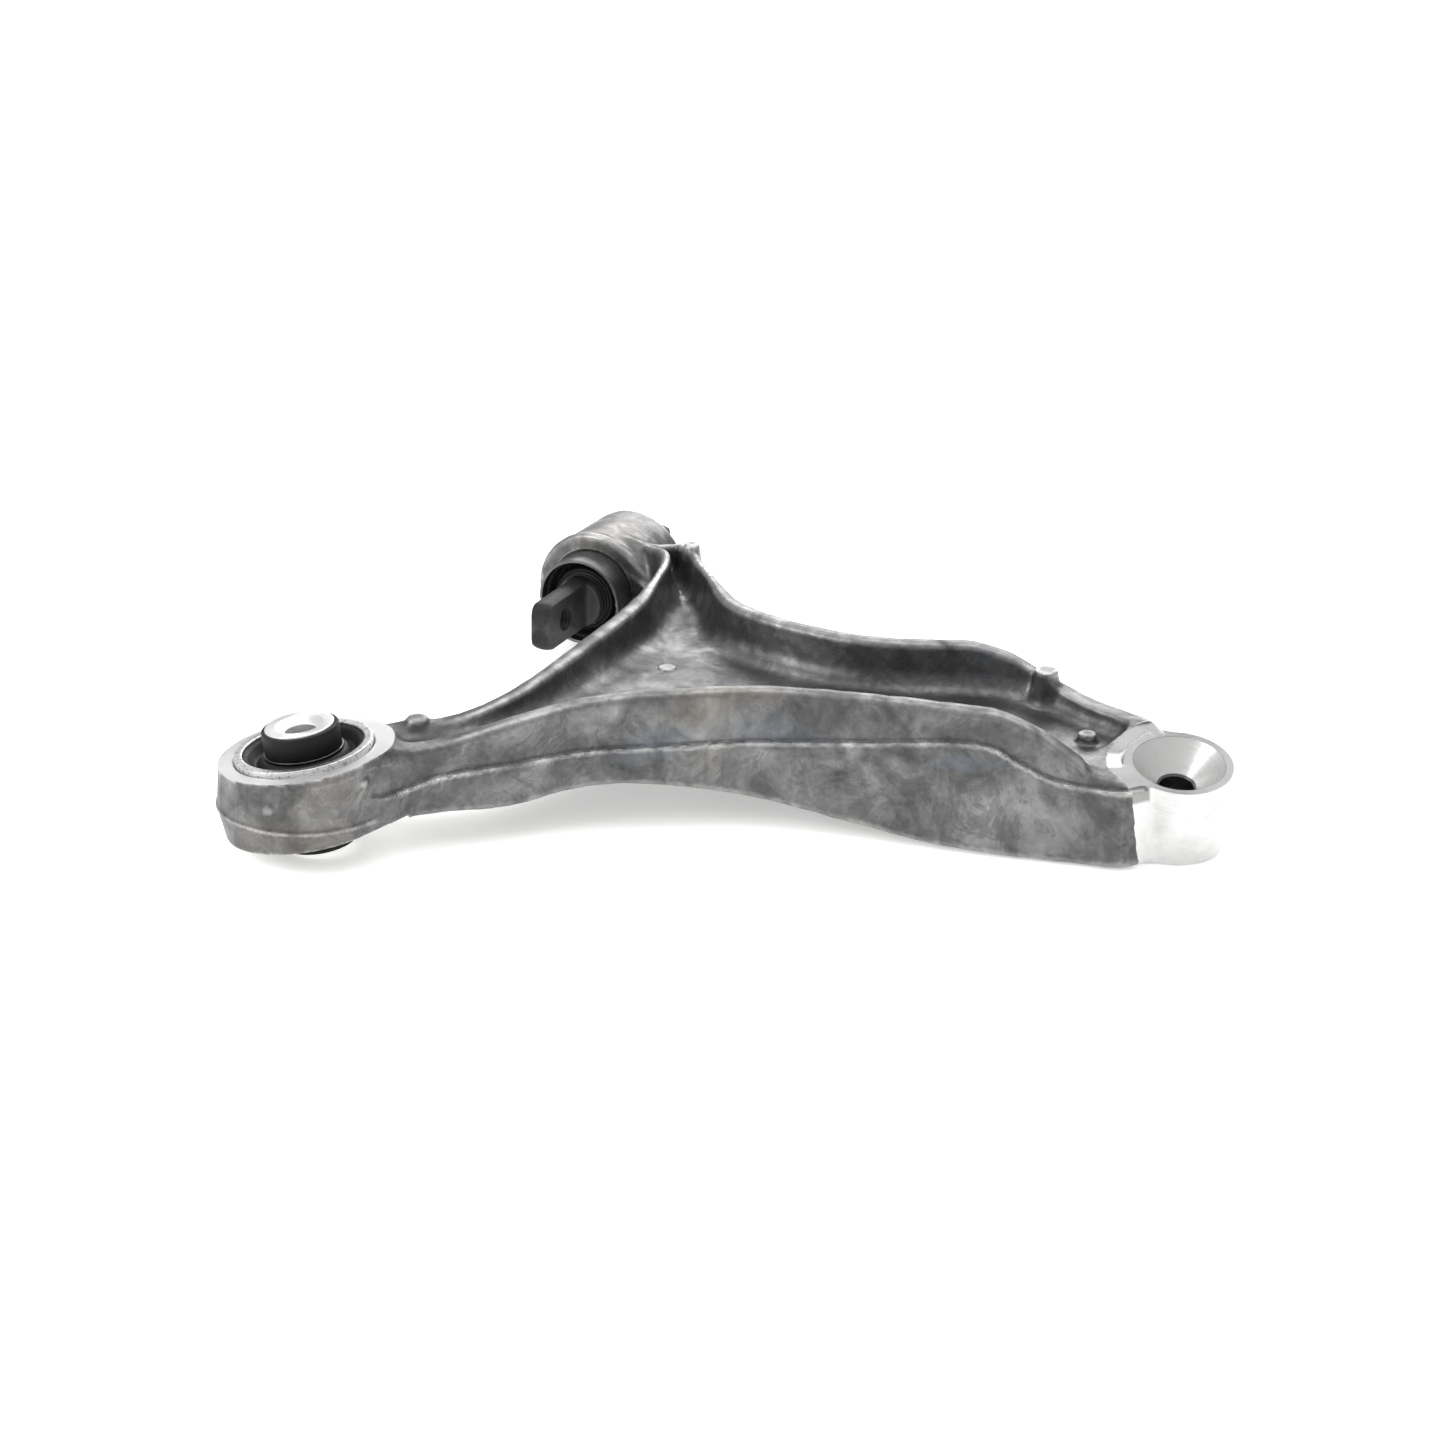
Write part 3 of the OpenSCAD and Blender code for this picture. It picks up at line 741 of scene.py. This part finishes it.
# ---------------------------------------------------------------- rear bush
ri = R_SLEEVE_R - R_SLEEVE_WALL
top = FACE_UP + R_SLEEVE_RISE
piece(lathe("rear_sleeve", rounded(
    [(R0 - 0.02, 0.5 - FACE_DOWN), (R0 - 0.02, top), (ri, top), (ri, 0.5 - FACE_DOWN)],
    [0.6, 0.7, 0.8, 0.6]), REAR, SLEEVE_METAL, 224),
    "arm", "rear_bush_sleeve")

rear_rubber = lathe("rear_rubber", rounded(
    [(CORE_R + 0.04, -4), (CORE_R + 4, -4), (22, -1.5), (ri - 3, -11.5), (ri - 0.02, -12.5),
     (ri - 0.02, FACE_UP + 1.5), (ri - 2, FACE_UP + 1), (22.6, FACE_UP - 4.5),
     (CORE_R + 3.6, FACE_UP - 0.2), (CORE_R + 0.04, FACE_UP)],
    [0.4, 1.5, 3, 1.5, 0.3, 0.5, 1.5, 3.0, 1.2, 0.4], 6), REAR, RUBBER, 192)
piece(rear_rubber, None, "rear_bush_rubber", 45)

piece(lathe("rear_core", rounded(
    [(BOLT_R, CORE_LOW), (CORE_R - 0.02, CORE_LOW), (CORE_R - 0.02, CORE_TOP),
     (BOLT_R + 4, CORE_TOP), (BOLT_R, CORE_TOP - 3.0)],
    [0.5, 0.8, 0.6, 0.4, 0.5]), REAR, CORE_METAL, 192),
    "rear_core", "rear_bush_core")

piece(lathe("rear_collar", rounded(
    [(CORE_R, BUFFER_FOOT - 1.2), (CORE_R + COAT + 0.7, BUFFER_FOOT - 1.2),
     (CORE_R + COAT + 0.7, BUFFER_FOOT - 0.2), (CORE_R, BUFFER_FOOT - 0.2)],
    [0.1, 0.4, 0.4, 0.1]), REAR, GREY_STEEL, 192),
    "rear_core", "rear_bush_collar")

piece(lathe("rear_upper_buffer", rounded(
    [(CORE_R, BUFFER_FOOT), (CORE_R + COAT, BUFFER_FOOT), (CORE_R + COAT, CORE_TOP - 0.9),
     (CORE_R, CORE_TOP - 0.9)], [0.1, 0.5, 1.4, 0.2]), REAR, RUBBER, 192),
    "rear_core", "rear_bush_upper_buffer")

piece(lathe("rear_lower_buffer", rounded(
    [(CORE_R, CORE_LOW), (CORE_R + LOWER_COAT, CORE_LOW), (CORE_R + LOWER_COAT, -6.5),
     (CORE_R, -6.5)], [0.1, 0.7, 0.4, 0.1]), REAR, RUBBER, 160),
    "rear_core", "rear_bush_lower_buffer")

# ---------------------------------------------------------------- front bush
fi = F_SLEEVE_R - F_SLEEVE_WALL
piece(lathe("front_sleeve", rounded(
    [(F_SLEEVE_R - 0.02, -F_SLEEVE_NEAR), (F_SLEEVE_R - 0.02, F_SLEEVE_FAR),
     (fi, F_SLEEVE_FAR), (fi, -F_SLEEVE_NEAR)], [0.7, 0.5, 0.5, 0.6]), FRONT, GREY_STEEL, 192),
    "arm", "front_bush_sleeve")

near, far = RUBBER_IN - F_SLEEVE_NEAR, F_SLEEVE_FAR - RUBBER_IN
front_rubber = lathe("front_rubber", rounded(
    [(F_TUBE_R + 0.04, near + 1), (F_TUBE_R + 1.2, near + 1.3), (18.4, near + 6),
     (fi - 1.2, near + 0.8), (fi - 0.02, near), (fi - 0.02, far), (fi - 1.2, far - 0.8),
     (18.4, far - 6), (F_TUBE_R + 1.2, far - 1.3), (F_TUBE_R + 0.04, far - 1)],
    [0.3, 1, 2, 1, 0.3, 0.3, 1, 2, 1, 0.3], 6), FRONT, RUBBER, 192)
piece(front_rubber, None, "front_bush_rubber", 45)

piece(lathe("front_inner_tube", rounded(
    [(PIN_R + 0.02, -F_TUBE_NEAR), (F_TUBE_R - 1.0, -F_TUBE_NEAR),
     (F_TUBE_R - 1.0, 1.0 - F_TUBE_NEAR), (F_TUBE_R, 1.6 - F_TUBE_NEAR), (F_TUBE_R, F_TUBE_FAR),
     (PIN_R + 0.02, F_TUBE_FAR)], [0.2, 0.3, 0.2, 0.3, 0.8, 0.2]), FRONT, DARK, 160),
    "bar_pin", "front_bush_inner_tube")

# bar pin: a round bar with two flats and a threaded hole at each end
pin = lathe("bar_pin", rounded(
    [(0, -PIN_LONG), (PIN_R, -PIN_LONG), (PIN_R, PIN_SHORT), (0, PIN_SHORT)],
    [0, 12, 12, 0], 14), FRONT, DARK, 160)


def flat_tool(end, reach, start, side):
    """A block with a curved run-out, which mills one flat of one tab."""
    far, run = reach + 2, 3.0
    profile = [(start + run * (1 - math.sin(a)), TAB_T / 2 + run * (1 - math.cos(a)))
               for a in np.linspace(0, math.pi / 2, 8)][::-1]
    profile = [(start, PIN_R + 2)] + profile + [(far, TAB_T / 2), (far, PIN_R + 2)]
    n = len(profile)
    points = [(x, side * h, end * s) for x in (-PIN_R - 2, PIN_R + 2) for s, h in profile]
    faces = [[i, (i + 1) % n, n + (i + 1) % n, n + i] for i in range(n)]
    faces += [list(range(n))[::-1], list(range(n, 2 * n))]
    return closed_solid("flat_tool", points, faces, FRONT, DARK)


def thread_tool(end, reach):
    """The space of an M12 tapped hole across a tab, with its thread of 1.75 mm pitch."""
    n, pitch, depth, span = 48, 1.75, 0.75, TAB_T + 4
    rows = int(span / pitch * 12)
    points = []
    for j in range(rows + 1):
        h = -span / 2 + span * j / rows
        for i in range(n):
            a = 2 * math.pi * i / n
            turn = (h / pitch - a / (2 * math.pi)) % 1.0
            r = HOLE_R + 0.05 + depth * (1 - abs(2 * turn - 1))
            r += max(0.0, abs(h) - TAB_T / 2 + 0.8)
            points.append((r * math.cos(a), h, r * math.sin(a)))
    faces = [[j * n + i, j * n + (i + 1) % n, (j + 1) * n + (i + 1) % n, (j + 1) * n + i]
             for j in range(rows) for i in range(n)]
    faces += [list(range(n)), list(range(rows * n, rows * n + n))[::-1]]
    where = FRONT @ Matrix.Translation((0, 0, end * (reach - HOLE_INSET)))
    return closed_solid("thread_tool", points, faces, where, DARK)


for end, reach, start in ((-1, PIN_LONG, F_SLEEVE_NEAR + 1), (1, PIN_SHORT, F_SLEEVE_FAR + 1)):
    cut(pin, flat_tool(end, reach, start, 1), flat_tool(end, reach, start, -1),
        thread_tool(end, reach))
piece(pin, "bar_pin", "front_bar_pin", 38)


def radial_blend(obj):
    """Bakes the rubber's placement into its mesh; the rubber is left unattached to any body."""
    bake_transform(obj)


radial_blend(rear_rubber)
radial_blend(front_rubber)

# ---------------------------------------------------------------- floor, light, camera
lowest = min(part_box(n)[0].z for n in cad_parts)
floor_mesh = bpy.data.meshes.new("floor")
side = 6.0
floor_mesh.from_pydata([(-side, -side, lowest), (side, -side, lowest), (side, side, lowest),
                        (-side, side, lowest)], [], [(0, 1, 2, 3)])
floor = bpy.data.objects.new("floor", floor_mesh)
bpy.context.scene.collection.objects.link(floor)
fm = Nodes("floor_paper")
fm.set(Base_Color=grey(0.93), Roughness=0.9, Normal=fm.bump(fm.noise(400, 3), 0.02, 0.0001),
       Specular_IOR_Level=0.0, Emission_Color=grey(1.0), Emission_Strength=0.45)
floor_mesh.materials.append(fm.material)

world = bpy.data.worlds.new("studio")
bpy.context.scene.world = world
world.use_nodes = True
wt = world.node_tree
back = wt.nodes["Background"]
coord = wt.nodes.new("ShaderNodeTexCoord")
sep = wt.nodes.new("ShaderNodeSeparateXYZ")
sky = wt.nodes.new("ShaderNodeValToRGB")
sky.color_ramp.elements[0].position, sky.color_ramp.elements[0].color = 0.0, (0.55, 0.55, 0.56, 1)
sky.color_ramp.elements[1].position, sky.color_ramp.elements[1].color = 0.75, (0.84, 0.84, 0.84, 1)
wt.links.new(coord.outputs["Generated"], sep.inputs[0])
wt.links.new(sep.outputs[2], sky.inputs[0])
wt.links.new(sky.outputs[0], back.inputs[0])
back.inputs["Strength"].default_value = 0.9


def area_light(name, place, aim, size, power):
    light = bpy.data.lights.new(name, "AREA")
    light.shape, light.size, light.size_y, light.energy = "RECTANGLE", size[0], size[1], power
    obj = bpy.data.objects.new(name, light)
    obj.location = place
    obj.rotation_euler = (Vector(aim) - Vector(place)).to_track_quat("-Z", "Y").to_euler()
    bpy.context.scene.collection.objects.link(obj)


centre = (0.19, 0.10, 0.0)
area_light("softbox_top", (0.25, 0.35, 1.5), centre, (2.0, 1.5), 15)
area_light("softbox_left", (-1.2, -0.5, 0.9), centre, (0.8, 0.8), 9)
area_light("softbox_back", (0.5, 1.6, 0.8), centre, (1.4, 0.6), 12)

camera = bpy.data.cameras.new("camera")
camera.lens, camera.sensor_width = 88.4, 36.0
view = bpy.data.objects.new("camera", camera)
aim = Vector((0.18666, -0.00571, 0.03924))
view.location = Vector((0.17197, -1.48905, 0.63881))
view.rotation_mode = "QUATERNION"
view.rotation_quaternion = ((view.location - aim).to_track_quat("Z", "Y")
                            @ Quaternion((0, 0, 1), rad(1.48)))
bpy.context.scene.collection.objects.link(view)
bpy.context.scene.camera = view
bpy.context.scene.view_settings.view_transform = "Standard"
